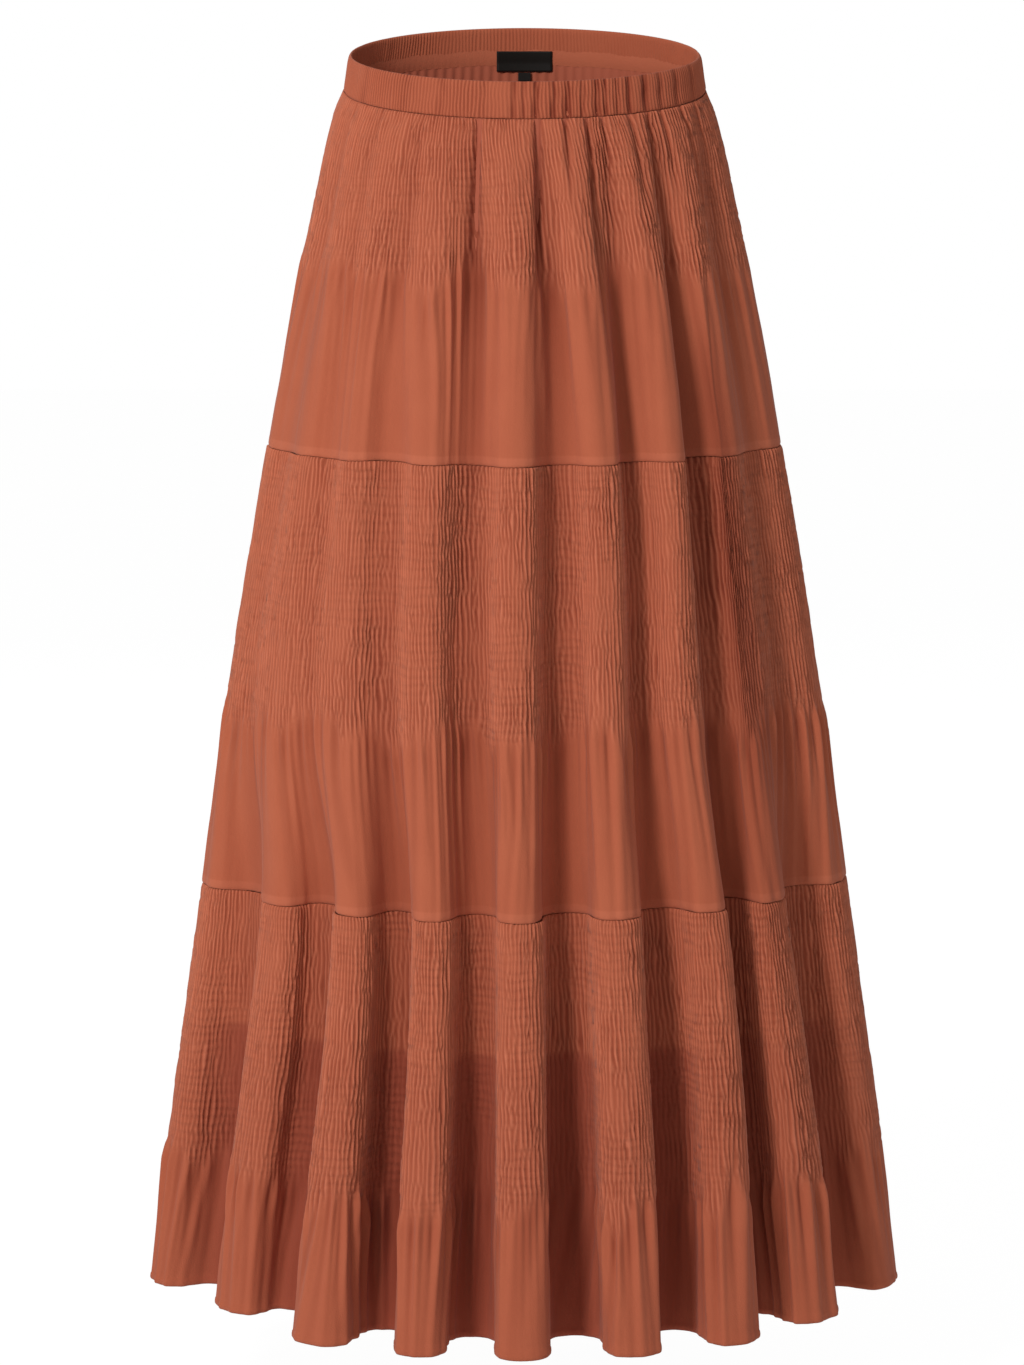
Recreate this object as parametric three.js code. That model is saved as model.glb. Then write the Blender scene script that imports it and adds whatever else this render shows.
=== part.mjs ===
// Three-tier shirred maxi skirt, in the hollow shape it takes when worn.
// Millimetres, +Z up. The origin is the centre of the waist opening, the front faces -Y
// and +X is on the right of someone looking at the front.
// Every piece is a thin cloth wall. It is worked out from level sections of the skirt,
// which are ellipses, and from the lengthwise folds that hang from the waist to the hem.

import * as THREE from 'three';

// ---- driving dimensions ----

const TIER_CLOTH = 1.5;
const LINING_CLOTH = 1.0;
const BAND_WALL = 2.4;
const LABEL_CLOTH = 0.8;
const SEAM_GAP = 0.3;

// Heights at the side of the skirt, down from the waist rim.
const RIM = 0;
const BAND_SEAM = -27;
const SEAM_1 = -294;
const SEAM_2 = -632;
const HEM = -944;
const LINING_HEM = -737;

// The level sections: the ellipse that the fold crests lie on. front, back and right are
// how far the cloth lies above the left side's height at the centre front, the centre back
// and the right side.
const SECTIONS = [
  { z: RIM, halfWidth: 133, halfDepth: 98, front: -20, back: 20, right: 0 },
  { z: BAND_SEAM, halfWidth: 137.5, halfDepth: 101, front: -20, back: 20, right: 0 },
  { z: -45, halfWidth: 145, halfDepth: 107, front: -18, back: 18, right: 0 },
  { z: -110, halfWidth: 161, halfDepth: 121, front: -13, back: 13, right: 0 },
  { z: -186, halfWidth: 178, halfDepth: 135, front: -9, back: 9, right: 0 },
  { z: SEAM_1, halfWidth: 199.5, halfDepth: 152, front: -5, back: 5, right: 1 },
  { z: -417, halfWidth: 220.5, halfDepth: 164, front: -2, back: 3, right: 3 },
  { z: -500, halfWidth: 234, halfDepth: 171, front: -1, back: 2, right: 5 },
  { z: SEAM_2, halfWidth: 255, halfDepth: 183, front: -1, back: 0, right: 6 },
  { z: -820, halfWidth: 284, halfDepth: 213, front: -3, back: 0, right: 2 },
  { z: HEM, halfWidth: 300, halfDepth: 239, front: -5, back: 0, right: 0 },
];

// The folds, from the left side seam round the front to the right side seam, and on
// round the back. crest is the fold's place in degrees from the centre front, and valley
// is how deep the hollow after it is. Both have one value for each of these heights.
// inset is how far the crest stands inside the section's ellipse at the hem.
const FOLD_HEIGHTS = [BAND_SEAM, -110, SEAM_1, -500, SEAM_2, HEM];
const FRONT_FOLDS = [
  { crest: [-77, -77, -77, -77, -76, -79], valley: [0, 3, 5, 6, 22, 44], inset: 5 },
  { crest: [-60, -59, -57, -54, -49, -55.5], valley: [0, 3, 7, 6, 24, 48], inset: 24 },
  { crest: [-44, -43, -40, -36, -31, -31.2], valley: [0, 4, 12, 15, 30, 56], inset: 0 },
  { crest: [-27, -25, -22, -18.8, -16.2, -16], valley: [0, 8, 16, 22, 29, 55], inset: 0 },
  { crest: [-5.5, -2.2, -1.7, -1.5, -1.2, -0.6], valley: [0, 9, 19, 27, 34, 59], inset: 0 },
  { crest: [12, 14.5, 17, 16, 16, 16.4], valley: [0, 10, 21, 23, 33, 54], inset: 0 },
  { crest: [31, 34, 34, 31.5, 34, 32.5], valley: [0, 9, 18, 20, 36, 54], inset: 0 },
  { crest: [53, 52, 50, 48, 47.6, 50.5], valley: [0, 5, 10, 12, 24, 50], inset: 8 },
  { crest: [75, 75, 75, 74, 73, 78], valley: [0, 2, 5, 7, 8, 14], inset: 5 },
];
// The back's folds stand about evenly between the two beside the side seams. shift is
// how far each stands off its even place, in degrees, and depth scales BACK_VALLEY.
const BACK_VALLEY = [0, 6, 15, 19, 29, 53];
const BACK_FOLDS = [
  { shift: 0, depth: 0.8, inset: 5 },
  { shift: 1.5, depth: 1.0, inset: 10 },
  { shift: -1.0, depth: 1.1, inset: 0 },
  { shift: 0.5, depth: 0.95, inset: 6 },
  { shift: 1.5, depth: 1.1, inset: 0 },
  { shift: -0.5, depth: 1.0, inset: 0 },
  { shift: -1.5, depth: 1.05, inset: 8 },
  { shift: 1.0, depth: 0.9, inset: 0 },
  { shift: 0.5, depth: 0.95, inset: 12 },
  { shift: 0, depth: 0, inset: 5 },
];
const SIDE_VALLEY = [0, 2, 5, 7, 8, 14];
const INSET_GROWTH = [0, 0, 0, 0, 0.3, 1];
// A deep fold is wider at its crest and in its hollow than at the neck between them.
// NECK is that swing sideways as a part of the fold's spacing, full at NECK_DEPTH.
const NECK = 0.095;
const NECK_DEPTH = 50;

// The lining hangs inside the folds, on plain ellipses.
const LINING_SECTIONS = [
  { z: BAND_SEAM, halfWidth: 135.7, halfDepth: 99.2, front: -20, back: 20, right: 0 },
  { z: -110, halfWidth: 146, halfDepth: 106, front: -13, back: 13, right: 0 },
  { z: SEAM_1, halfWidth: 172, halfDepth: 124, front: -5, back: 5, right: 0 },
  { z: SEAM_2, halfWidth: 208, halfDepth: 141, front: 4, back: 1, right: 0 },
  { z: LINING_HEM, halfWidth: 218, halfDepth: 147, front: 2, back: 0, right: 0 },
];

// The label and the size tab under it, inside the centre back.
const LABEL = { halfWidth: 22, top: -18, bottom: -34 };
const SIZE_TAB = { halfWidth: 5, top: -34.3, bottom: -41 };
const LABEL_INSET = TIER_CLOTH + SEAM_GAP + LINING_CLOTH + SEAM_GAP;

// How finely each wall is divided.
const TIER_1_STEPS = 6;
const TIER_STEPS = 8;
const TIER_ROWS = 4;
const LINING_STEPS = 20;
const BAND_STEPS = 48;
const LABEL_STEPS = 3;
// How far beside a column, in folds, the cloth's direction is taken.
const BESIDE = 0.01;

const RUST = { color: 0xb05f47, roughness: 0.9, metalness: 0 };
const LINING_RUST = { color: 0xa5563f, roughness: 0.85, metalness: 0 };
const LABEL_BLACK = { color: 0x17130f, roughness: 0.6, metalness: 0 };

// ---- reading the tables ----

// A smooth curve through the values at the given heights, which run downwards.
function smoothAt(heights, values, z) {
  const last = heights.length - 1;
  if (z >= heights[0]) return values[0];
  if (z <= heights[last]) return values[last];
  let i = 0;
  while (z < heights[i + 1]) i += 1;
  const slope = (j) => (values[j + 1] - values[j]) / (heights[j + 1] - heights[j]);
  const tangent = (j) => {
    if (j === 0) return slope(0);
    if (j === last) return slope(last - 1);
    return (slope(j - 1) + slope(j)) / 2;
  };
  const span = heights[i + 1] - heights[i];
  const t = (z - heights[i]) / span;
  const rise = values[i + 1] - values[i];
  const a = tangent(i) * span - rise;
  const b = rise - tangent(i + 1) * span;
  return values[i] + rise * t + t * (1 - t) * (a * (1 - t) + b * t);
}

function sectionAt(sections, z) {
  const heights = sections.map((row) => row.z);
  const read = (name) => smoothAt(heights, sections.map((row) => row[name]), z);
  return {
    z,
    halfWidth: read('halfWidth'),
    halfDepth: read('halfDepth'),
    front: read('front'),
    back: read('back'),
    right: read('right'),
  };
}

const radians = THREE.MathUtils.degToRad;

// All the folds round the skirt at one height: each one's crest angle, the hollow after
// it, and how far its crest stands inside the ellipse.
function foldsAt(z) {
  const read = (values) => smoothAt(FOLD_HEIGHTS, values, z);
  const insetGrowth = read(INSET_GROWTH);
  const folds = FRONT_FOLDS.map((fold) => ({
    crest: read(fold.crest),
    valley: read(fold.valley),
    inset: fold.inset * insetGrowth,
  }));
  const firstBack = 180 - folds[folds.length - 1].crest;
  const lastBack = 180 - folds[0].crest;
  BACK_FOLDS.forEach((fold, k) => {
    const even = firstBack + (lastBack - firstBack) * k / (BACK_FOLDS.length - 1);
    folds.push({
      crest: even + fold.shift,
      valley: read(BACK_VALLEY) * fold.depth,
      inset: fold.inset * insetGrowth,
    });
  });
  folds[folds.length - 1].valley = read(SIDE_VALLEY);
  return folds;
}

// ---- points on the walls ----

// A point on a section's ellipse, moved inwards by depth. The angle is from the centre front.
function ellipsePoint(section, angle, depth) {
  const sine = Math.sin(angle);
  const cosine = Math.cos(angle);
  const out = new THREE.Vector2(section.halfDepth * sine, -section.halfWidth * cosine).normalize();
  const frontOrBack = cosine > 0 ? section.front * cosine : -section.back * cosine;
  const side = section.right * Math.max(0, sine) ** 2;
  return new THREE.Vector3(
    section.halfWidth * sine - out.x * depth,
    -section.halfDepth * cosine - out.y * depth,
    section.z + frontOrBack + side,
  );
}

// The folded cloth's outer face. place counts folds: a whole number is a crest, and the
// half after it is the hollow. The two side seams are the hollows at -0.5 and at 8.5.
function foldedPoint(section, folds, place) {
  const count = folds.length;
  const k = Math.floor(place);
  const from = folds[(k + count) % count];
  const to = folds[(k + 1 + count) % count];
  const turn = 2 * Math.PI * (place - k);
  const fromCrest = radians(from.crest + 360 * Math.floor(k / count));
  const toCrest = radians(to.crest + 360 * Math.floor((k + 1) / count));
  const spacing = toCrest - fromCrest;
  const hollow = from.valley * (1 - Math.cos(turn)) / 2;
  const crestLine = from.inset + (to.inset - from.inset) * (1 - Math.cos(turn / 2)) / 2;
  const neck = NECK * Math.min(1, from.valley / NECK_DEPTH);
  const angle = fromCrest + spacing * (place - k) + spacing * neck * Math.sin(2 * turn);
  return ellipsePoint(section, angle, hollow + crestLine);
}

// The inner face of a wall: a point moved inwards, square to its row. before and after are
// the row's points just beside it.
function inset(point, before, after, thickness) {
  const along = new THREE.Vector2(after.x - before.x, after.y - before.y).normalize();
  return new THREE.Vector3(point.x - along.y * thickness, point.y + along.x * thickness, point.z);
}

// ---- building closed walls ----

// A closed body from an outer and an inner grid of points, rows from the top down and
// columns anticlockwise seen from above. A ring's last column joins its first.
function wallGeometry(outer, inner, isRing) {
  const rows = outer.length;
  const columns = outer[0].length;
  const positions = [];
  const faces = [];
  for (const grid of [outer, inner]) {
    for (const row of grid) {
      for (const point of row) positions.push(point.x, point.y, point.z);
    }
  }
  const innerStart = rows * columns;
  const quad = (a, b, c, d) => faces.push(a, b, c, a, c, d);
  const spans = isRing ? columns : columns - 1;
  for (let c = 0; c < spans; c += 1) {
    const next = (c + 1) % columns;
    for (let r = 0; r < rows - 1; r += 1) {
      const above = r * columns;
      const below = above + columns;
      quad(above + c, below + c, below + next, above + next);
      const inAbove = innerStart + above;
      const inBelow = innerStart + below;
      quad(inAbove + next, inBelow + next, inBelow + c, inAbove + c);
    }
    const foot = (rows - 1) * columns;
    quad(c, next, innerStart + next, innerStart + c);
    quad(foot + next, foot + c, innerStart + foot + c, innerStart + foot + next);
  }
  if (!isRing) {
    const end = columns - 1;
    for (let r = 0; r < rows - 1; r += 1) {
      const above = r * columns;
      const below = above + columns;
      quad(innerStart + above, innerStart + below, below, above);
      quad(above + end, below + end, innerStart + below + end, innerStart + above + end);
    }
  }
  const geometry = new THREE.BufferGeometry();
  geometry.setAttribute('position', new THREE.Float32BufferAttribute(positions, 3));
  geometry.setIndex(faces);
  geometry.computeVertexNormals();
  return geometry;
}

function piece(name, geometry, finish) {
  const mesh = new THREE.Mesh(geometry, new THREE.MeshStandardMaterial(finish));
  mesh.name = name;
  return mesh;
}

// The rows and columns of a wall, as evenly spaced steps from one value to another.
function steps(from, to, count) {
  return Array.from({ length: count + 1 }, (_, i) => from + (to - from) * i / count);
}

// Two meeting pieces each stop half a seam gap short of the side seam, where y is 0.
function trimAtSideSeam(point, isFront) {
  const side = isFront ? -1 : 1;
  if (point.y * side < SEAM_GAP / 2) point.y = side * SEAM_GAP / 2;
  return point;
}

// Half of a tier, between two heights and two places among the folds.
function tierHalf(name, top, bottom, firstPlace, lastPlace, stepsPerFold) {
  const isFront = firstPlace < 0;
  const columns = steps(firstPlace, lastPlace, (lastPlace - firstPlace) * stepsPerFold);
  const outer = [];
  const inner = [];
  for (const z of steps(top, bottom, TIER_ROWS)) {
    const section = sectionAt(SECTIONS, z);
    const folds = foldsAt(z);
    const row = columns.map((place) => foldedPoint(section, folds, place));
    const insideRow = columns.map((place, c) => {
      const before = foldedPoint(section, folds, place - BESIDE);
      const after = foldedPoint(section, folds, place + BESIDE);
      return inset(row[c], before, after, TIER_CLOTH);
    });
    outer.push(row.map((point) => trimAtSideSeam(point, isFront)));
    inner.push(insideRow.map((point) => trimAtSideSeam(point, isFront)));
  }
  return piece(name, wallGeometry(outer, inner, false), RUST);
}

// ---- the pieces ----

// One tier: its front runs between the side seams at folds -0.5 and 8.5, and its back on
// from there to where the front starts.
function tier(number, top, bottom, stepsPerFold) {
  const leftSeam = -0.5;
  const rightSeam = FRONT_FOLDS.length - 0.5;
  const fullTurn = leftSeam + FRONT_FOLDS.length + BACK_FOLDS.length;
  return [
    tierHalf(`tier_${number}_front`, top, bottom, leftSeam, rightSeam, stepsPerFold),
    tierHalf(`tier_${number}_back`, top, bottom, rightSeam, fullTurn, stepsPerFold),
  ];
}

// The waistband: one ring of casing with its elastic hidden inside.
function waistband() {
  const angles = steps(0, 2 * Math.PI, BAND_STEPS).slice(0, -1);
  const heights = [RIM, BAND_SEAM];
  const sections = heights.map((z) => sectionAt(SECTIONS, z));
  const outer = sections.map((section) => angles.map((angle) => ellipsePoint(section, angle, 0)));
  const inner = sections.map((section) => angles.map((angle) => ellipsePoint(section, angle, BAND_WALL)));
  return piece('waistband', wallGeometry(outer, inner, true), RUST);
}

// Half of the lining, a plain A-line shell that is sewn in with the first tier.
function liningHalf(name, firstAngle, lastAngle) {
  const isFront = firstAngle < 0;
  const angles = steps(firstAngle, lastAngle, LINING_STEPS);
  const place = (section, angle, depth) => trimAtSideSeam(ellipsePoint(section, angle, depth), isFront);
  const heights = LINING_SECTIONS.map((row) => row.z);
  heights[0] -= SEAM_GAP;
  const sections = heights.map((z) => sectionAt(LINING_SECTIONS, z));
  const outer = sections.map((section) => angles.map((angle) => place(section, angle, 0)));
  const inner = sections.map((section) => angles.map((angle) => place(section, angle, LINING_CLOTH)));
  return piece(name, wallGeometry(outer, inner, false), LINING_RUST);
}

// A flat tape inside the centre back, on the band's own curve moved inwards. Its heights
// are down from the back rim, and below the band it hangs straight.
function backTape(name, size) {
  const centre = Math.PI;
  const level = (height, depth) => {
    const section = sectionAt(SECTIONS, Math.max(height, BAND_SEAM));
    const reach = Math.asin(size.halfWidth / section.halfWidth);
    return steps(centre - reach, centre + reach, LABEL_STEPS).map((angle) => {
      const point = ellipsePoint(section, angle, depth);
      point.z = section.back + height;
      return point;
    });
  };
  const heights = [size.top, size.bottom];
  const outer = heights.map((height) => level(height, LABEL_INSET));
  const inner = heights.map((height) => level(height, LABEL_INSET + LABEL_CLOTH));
  return piece(name, wallGeometry(outer, inner, false), LABEL_BLACK);
}

const group = new THREE.Group();
group.add(waistband());
group.add(...tier(1, BAND_SEAM - SEAM_GAP, SEAM_1 + SEAM_GAP / 2, TIER_1_STEPS));
group.add(...tier(2, SEAM_1 - SEAM_GAP / 2, SEAM_2 + SEAM_GAP / 2, TIER_STEPS));
group.add(...tier(3, SEAM_2 - SEAM_GAP / 2, HEM, TIER_STEPS));
group.add(liningHalf('lining_front', -Math.PI / 2, Math.PI / 2));
group.add(liningHalf('lining_back', Math.PI / 2, 3 * Math.PI / 2));
group.add(backTape('label', LABEL));
group.add(backTape('size_tab', SIZE_TAB));

export default group;
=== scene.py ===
import bpy
import math
import numpy as np
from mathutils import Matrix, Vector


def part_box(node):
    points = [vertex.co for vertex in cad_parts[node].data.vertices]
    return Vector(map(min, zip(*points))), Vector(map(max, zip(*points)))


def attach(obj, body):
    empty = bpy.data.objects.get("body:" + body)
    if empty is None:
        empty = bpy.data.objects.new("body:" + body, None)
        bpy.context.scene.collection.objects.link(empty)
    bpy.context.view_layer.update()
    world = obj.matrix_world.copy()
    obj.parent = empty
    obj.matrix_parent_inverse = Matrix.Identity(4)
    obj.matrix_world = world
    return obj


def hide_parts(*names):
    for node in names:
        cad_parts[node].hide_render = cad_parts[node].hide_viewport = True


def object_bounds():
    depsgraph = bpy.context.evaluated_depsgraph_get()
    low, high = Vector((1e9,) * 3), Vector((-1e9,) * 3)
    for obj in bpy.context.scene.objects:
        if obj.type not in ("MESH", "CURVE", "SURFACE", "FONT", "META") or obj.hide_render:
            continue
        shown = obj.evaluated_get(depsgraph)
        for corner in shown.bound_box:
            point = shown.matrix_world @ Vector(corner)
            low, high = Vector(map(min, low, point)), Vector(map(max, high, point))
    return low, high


# Three-tier shirred maxi skirt of rust-brown viscose, hollow and hanging as it does when worn.
# The frame is in metres with its origin in the waist opening. Cloth is worked out in
# millimetres and turned to metres when its mesh is made.
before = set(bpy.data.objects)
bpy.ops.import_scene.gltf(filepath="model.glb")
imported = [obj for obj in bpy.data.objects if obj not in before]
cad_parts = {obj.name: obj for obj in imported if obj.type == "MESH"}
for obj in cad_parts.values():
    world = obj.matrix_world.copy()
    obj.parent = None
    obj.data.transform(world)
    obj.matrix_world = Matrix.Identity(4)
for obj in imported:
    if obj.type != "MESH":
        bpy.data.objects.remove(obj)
cad_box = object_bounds()
MM = 0.001

# ---- camera ----
# It stands 3.2 m in front of the skirt, level with the waist rim, and looks a little down
# through a long lens.
CAMERA_DISTANCE = 3.2
CAMERA_SIDE = -0.0097
CAMERA_DOWN = math.radians(8.547)
CAMERA_LENS = 110.295
CAMERA_SENSOR = 36
CAMERA_REACH = 30
bpy.ops.object.select_all(action="DESELECT")
bpy.ops.object.camera_add(
    location=(CAMERA_SIDE, -CAMERA_DISTANCE, 0),
    rotation=(math.pi / 2 - CAMERA_DOWN, 0, 0),
)
camera = bpy.context.object
camera.name = "camera"
camera.data.lens = CAMERA_LENS
camera.data.sensor_width = CAMERA_SENSOR
camera.data.clip_end = CAMERA_REACH
bpy.context.scene.camera = camera
bpy.context.scene.view_settings.view_transform = "Standard"


# ---- floor, backdrop and lamps ----
# A plain pale studio: a white floor as far under the hem as a wearer's ankles reach, and a
# white surround. A broad lamp at the upper left gives the folds their shade.
def srgb(code):
    """An sRGB hex colour as linear numbers."""
    parts = [int(code[i : i + 2], 16) / 255 for i in (1, 3, 5)]
    return [c / 12.92 if c <= 0.04045 else ((c + 0.055) / 1.055) ** 2.4 for c in parts] + [1.0]


def add_node(tree, kind, links=(), **settings):
    """Adds a node, sets its properties or its sockets by name, and links (socket, output) pairs."""
    node = tree.nodes.new(kind)
    for key, value in settings.items():
        if hasattr(node, key):
            setattr(node, key, value)
        else:
            node.inputs[key.replace("_", " ")].default_value = value
    for socket, output in links:
        tree.links.new(output, node.inputs[socket])
    return node


FLOOR_DROP = 0.10
FLOOR_SIZE = 14
FLOOR_BACK = 3
FLOOR_WHITE = "#F4F4F4"
WHITE = (1, 1, 1, 1)
# The camera sees the floor mostly as a glow as white as the surround. The rest of what it
# sees is matt paper, which takes the skirt's soft shadow.
FLOOR_GLOW = 1.04
FLOOR_GLOW_SHARE = 0.93
floor_height = cad_box[0][2] - FLOOR_DROP
bpy.ops.object.select_all(action="DESELECT")
bpy.ops.mesh.primitive_plane_add(size=FLOOR_SIZE, location=(0, FLOOR_BACK, floor_height))
floor = bpy.context.object
floor.name = "studio_floor"
bpy.ops.object.transform_apply(location=True)
paper = bpy.data.materials.new("matt_white_paper")
paper.use_nodes = True
paper_tree = paper.node_tree
paper_tree.nodes.clear()
light_path = add_node(paper_tree, "ShaderNodeLightPath")
matt = add_node(paper_tree, "ShaderNodeBsdfDiffuse", Color=srgb(FLOOR_WHITE))
glow = add_node(paper_tree, "ShaderNodeEmission", Color=WHITE, Strength=FLOOR_GLOW)
seen = add_node(
    paper_tree, "ShaderNodeMath", [(0, light_path.outputs["Is Camera Ray"])], operation="MULTIPLY"
)
seen.inputs[1].default_value = FLOOR_GLOW_SHARE
blend = add_node(
    paper_tree,
    "ShaderNodeMixShader",
    [(0, seen.outputs[0]), (1, matt.outputs[0]), (2, glow.outputs[0])],
)
add_node(paper_tree, "ShaderNodeOutputMaterial", [("Surface", blend.outputs[0])])
floor.data.materials.append(paper)

# The surround lights the skirt at the fill level, and shows behind it as plain white.
FILL_LEVEL = 0.37
world = bpy.data.worlds.new("studio_surround")
bpy.context.scene.world = world
world.use_nodes = True
sky = world.node_tree
sky.nodes.clear()
sky_path = add_node(sky, "ShaderNodeLightPath")
fill = add_node(sky, "ShaderNodeBackground", Color=WHITE, Strength=FILL_LEVEL)
backdrop = add_node(sky, "ShaderNodeBackground", Color=WHITE, Strength=1.0)
shown = add_node(
    sky,
    "ShaderNodeMixShader",
    [(0, sky_path.outputs["Is Camera Ray"]), (1, fill.outputs[0]), (2, backdrop.outputs[0])],
)
add_node(sky, "ShaderNodeOutputWorld", [("Surface", shown.outputs[0])])


def lamp(name, place, aim, size, watts):
    """A square soft box at place that faces aim."""
    bpy.ops.object.light_add(type="AREA", location=place)
    box = bpy.context.object
    box.name = name
    box.data.size = size
    box.data.energy = watts
    away = [p - a for p, a in zip(place, aim)]
    flat = math.hypot(away[0], away[1])
    box.rotation_euler = (math.atan2(flat, away[2]), 0, math.atan2(away[0], -away[1]))


SKIRT_MIDDLE = (0, 0, -0.45)
lamp("key_soft_box", place=(-1.9, -2.8, 1.6), aim=SKIRT_MIDDLE, size=0.7, watts=85)
lamp("back_soft_box", place=(-0.8, 3.2, 1.2), aim=SKIRT_MIDDLE, size=1.4, watts=30)


# ---- waistband ----
# A casing of the same crinkled viscose, folded double over 25 mm elastic. The elastic draws
# the cloth into fine upright ribs, with deeper gathers where it bunches at the front.
RIM = 0
BAND_SEAM = -27
SEAM_1 = -294
SEAM_2 = -632
HEM = -944

# The level sections of the skirt, each after its height: the half axes of the ellipse that
# the fold crests lie on, and how far the cloth lies above the left side's height at the
# centre front, the centre back and the right.
SECTION_SIZES = ("half_width", "half_depth", "front", "back", "right")
SKIRT_SECTIONS = (
    (RIM, 133, 98, -20, 20, 0),
    (BAND_SEAM, 137.5, 101, -20, 20, 0),
    (-45, 145, 107, -18, 18, 0),
    (-110, 161, 121, -13, 13, 0),
    (-186, 178, 135, -9, 9, 0),
    (SEAM_1, 199.5, 152, -5, 5, 1),
    (-417, 220.5, 164, -2, 3, 3),
    (-500, 234, 171, -1, 2, 5),
    (SEAM_2, 255, 183, -1, 0, 6),
    (-820, 284, 213, -3, 0, 2),
    (HEM, 300, 239, -5, 0, 0),
)


def smooth_at(heights, values, z):
    """A smooth curve through the values at the given heights, which run downwards."""
    last = len(heights) - 1
    if z >= heights[0]:
        return values[0]
    if z <= heights[last]:
        return values[last]
    i = 0
    while z < heights[i + 1]:
        i += 1

    def slope(j):
        return (values[j + 1] - values[j]) / (heights[j + 1] - heights[j])

    def tangent(j):
        if j == 0:
            return slope(0)
        if j == last:
            return slope(last - 1)
        return (slope(j - 1) + slope(j)) / 2

    span = heights[i + 1] - heights[i]
    t = (z - heights[i]) / span
    rise = values[i + 1] - values[i]
    a = tangent(i) * span - rise
    b = rise - tangent(i + 1) * span
    return values[i] + rise * t + t * (1 - t) * (a * (1 - t) + b * t)


def section_at(sections, z):
    """The level section at a height, smooth between the listed ones."""
    heights, *columns = zip(*sections)
    section = {name: smooth_at(heights, column, z) for name, column in zip(SECTION_SIZES, columns)}
    section["z"] = z
    return section


def ellipse_points(section, angle, depth):
    """Points on a section's ellipse, moved inwards by depth. Angles are from the centre front."""
    sine, cosine = np.sin(angle), np.cos(angle)
    out_x, out_y = section["half_depth"] * sine, -section["half_width"] * cosine
    length = np.hypot(out_x, out_y)
    lift = np.where(cosine > 0, section["front"] * cosine, -section["back"] * cosine)
    lift = lift + section["right"] * np.maximum(0, sine) ** 2
    x = section["half_width"] * sine - out_x / length * depth
    y = -section["half_depth"] * cosine - out_y / length * depth
    return np.stack([x, y, section["z"] + lift + 0 * depth], -1)


def drift(across, down, across_mm, down_mm, seed):
    """Smooth chance values from -1 to 1 over a cloth, which change every across_mm by down_mm."""
    u, v = np.broadcast_arrays(across / across_mm, down / down_mm)
    i, j = np.floor(u).astype(int), np.floor(v).astype(int)
    a, b = i - i.min(), j - j.min()
    knots = np.random.RandomState(seed).uniform(-1, 1, (a.max() + 2, b.max() + 2))
    u, v = u - i, v - j
    u, v = u * u * (3 - 2 * u), v * v * (3 - 2 * v)
    upper = knots[a, b] * (1 - u) + knots[a + 1, b] * u
    lower = knots[a, b + 1] * (1 - u) + knots[a + 1, b + 1] * u
    return upper * (1 - v) + lower * v


def uneven(across, down, seed, layers):
    """The sum of layers of drift. Each layer is its amount, the mm across and down over which
    it changes, and the number that it adds to the seed."""
    return sum(
        amount * drift(across, down, across_mm, down_mm, seed + more)
        for amount, across_mm, down_mm, more in layers
    )


def step_between(start, end, value):
    """0 at start, 1 at end, and smooth between."""
    t = np.clip((value - start) / (end - start), 0, 1)
    return t * t * (3 - 2 * t)


def add_cloth(name, mesh, material):
    """Puts a cloth's mesh into the scene, smooth, in its material and on the skirt's one body."""
    mesh.polygons.foreach_set("use_smooth", np.ones(len(mesh.polygons), dtype=bool))
    mesh.materials.append(material)
    piece = bpy.data.objects.new(name, mesh)
    bpy.context.scene.collection.objects.link(piece)
    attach(piece, "root")
    return piece


def make_sheet(name, grid, across, material, is_ring=False, shades=None):
    """A cloth mesh from a grid of points in mm: rows from the top down, columns
    anticlockwise from above. across is each column's place along the cloth, and shades are
    values stored at the points, by name, for the material to read."""
    rows, columns = grid.shape[:2]
    index = np.arange(rows * columns).reshape(rows, columns)
    if is_ring:
        index = np.concatenate([index, index[:, :1]], axis=1)
    corners = [index[:-1, :-1], index[1:, :-1], index[1:, 1:], index[:-1, 1:]]
    faces = np.stack(corners, -1).reshape(-1, 4)
    mesh = bpy.data.meshes.new(name)
    mesh.vertices.add(rows * columns)
    mesh.vertices.foreach_set("co", (grid * MM).astype(np.float32).ravel())
    mesh.loops.add(faces.size)
    mesh.loops.foreach_set("vertex_index", faces.astype(np.int32).ravel())
    mesh.polygons.add(len(faces))
    mesh.polygons.foreach_set("loop_start", np.arange(0, faces.size, 4, dtype=np.int32))
    mesh.update(calc_edges=True)
    flat = np.stack([np.broadcast_to(across, (rows, columns)), grid[..., 2]], -1) * MM
    uv = mesh.uv_layers.new(name="cloth")
    uv.data.foreach_set("uv", flat.reshape(-1, 2)[faces.ravel()].astype(np.float32).ravel())
    for key, values in (shades or {}).items():
        attribute = mesh.attributes.new(key, "FLOAT", "POINT")
        spread = np.broadcast_to(values, (rows, columns))
        attribute.data.foreach_set("value", spread.astype(np.float32).ravel())
    return add_cloth(name, mesh, material)


# Every cloth of the skirt is matt: a faint sheen from its loose fibres and no gloss.
CLOTH_SPECULAR = 0.2
CLOTH_SHEEN = 0.08
CLOTH_SHEEN_ROUGHNESS = 0.5
DYE_PATCH = 0.035


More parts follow.
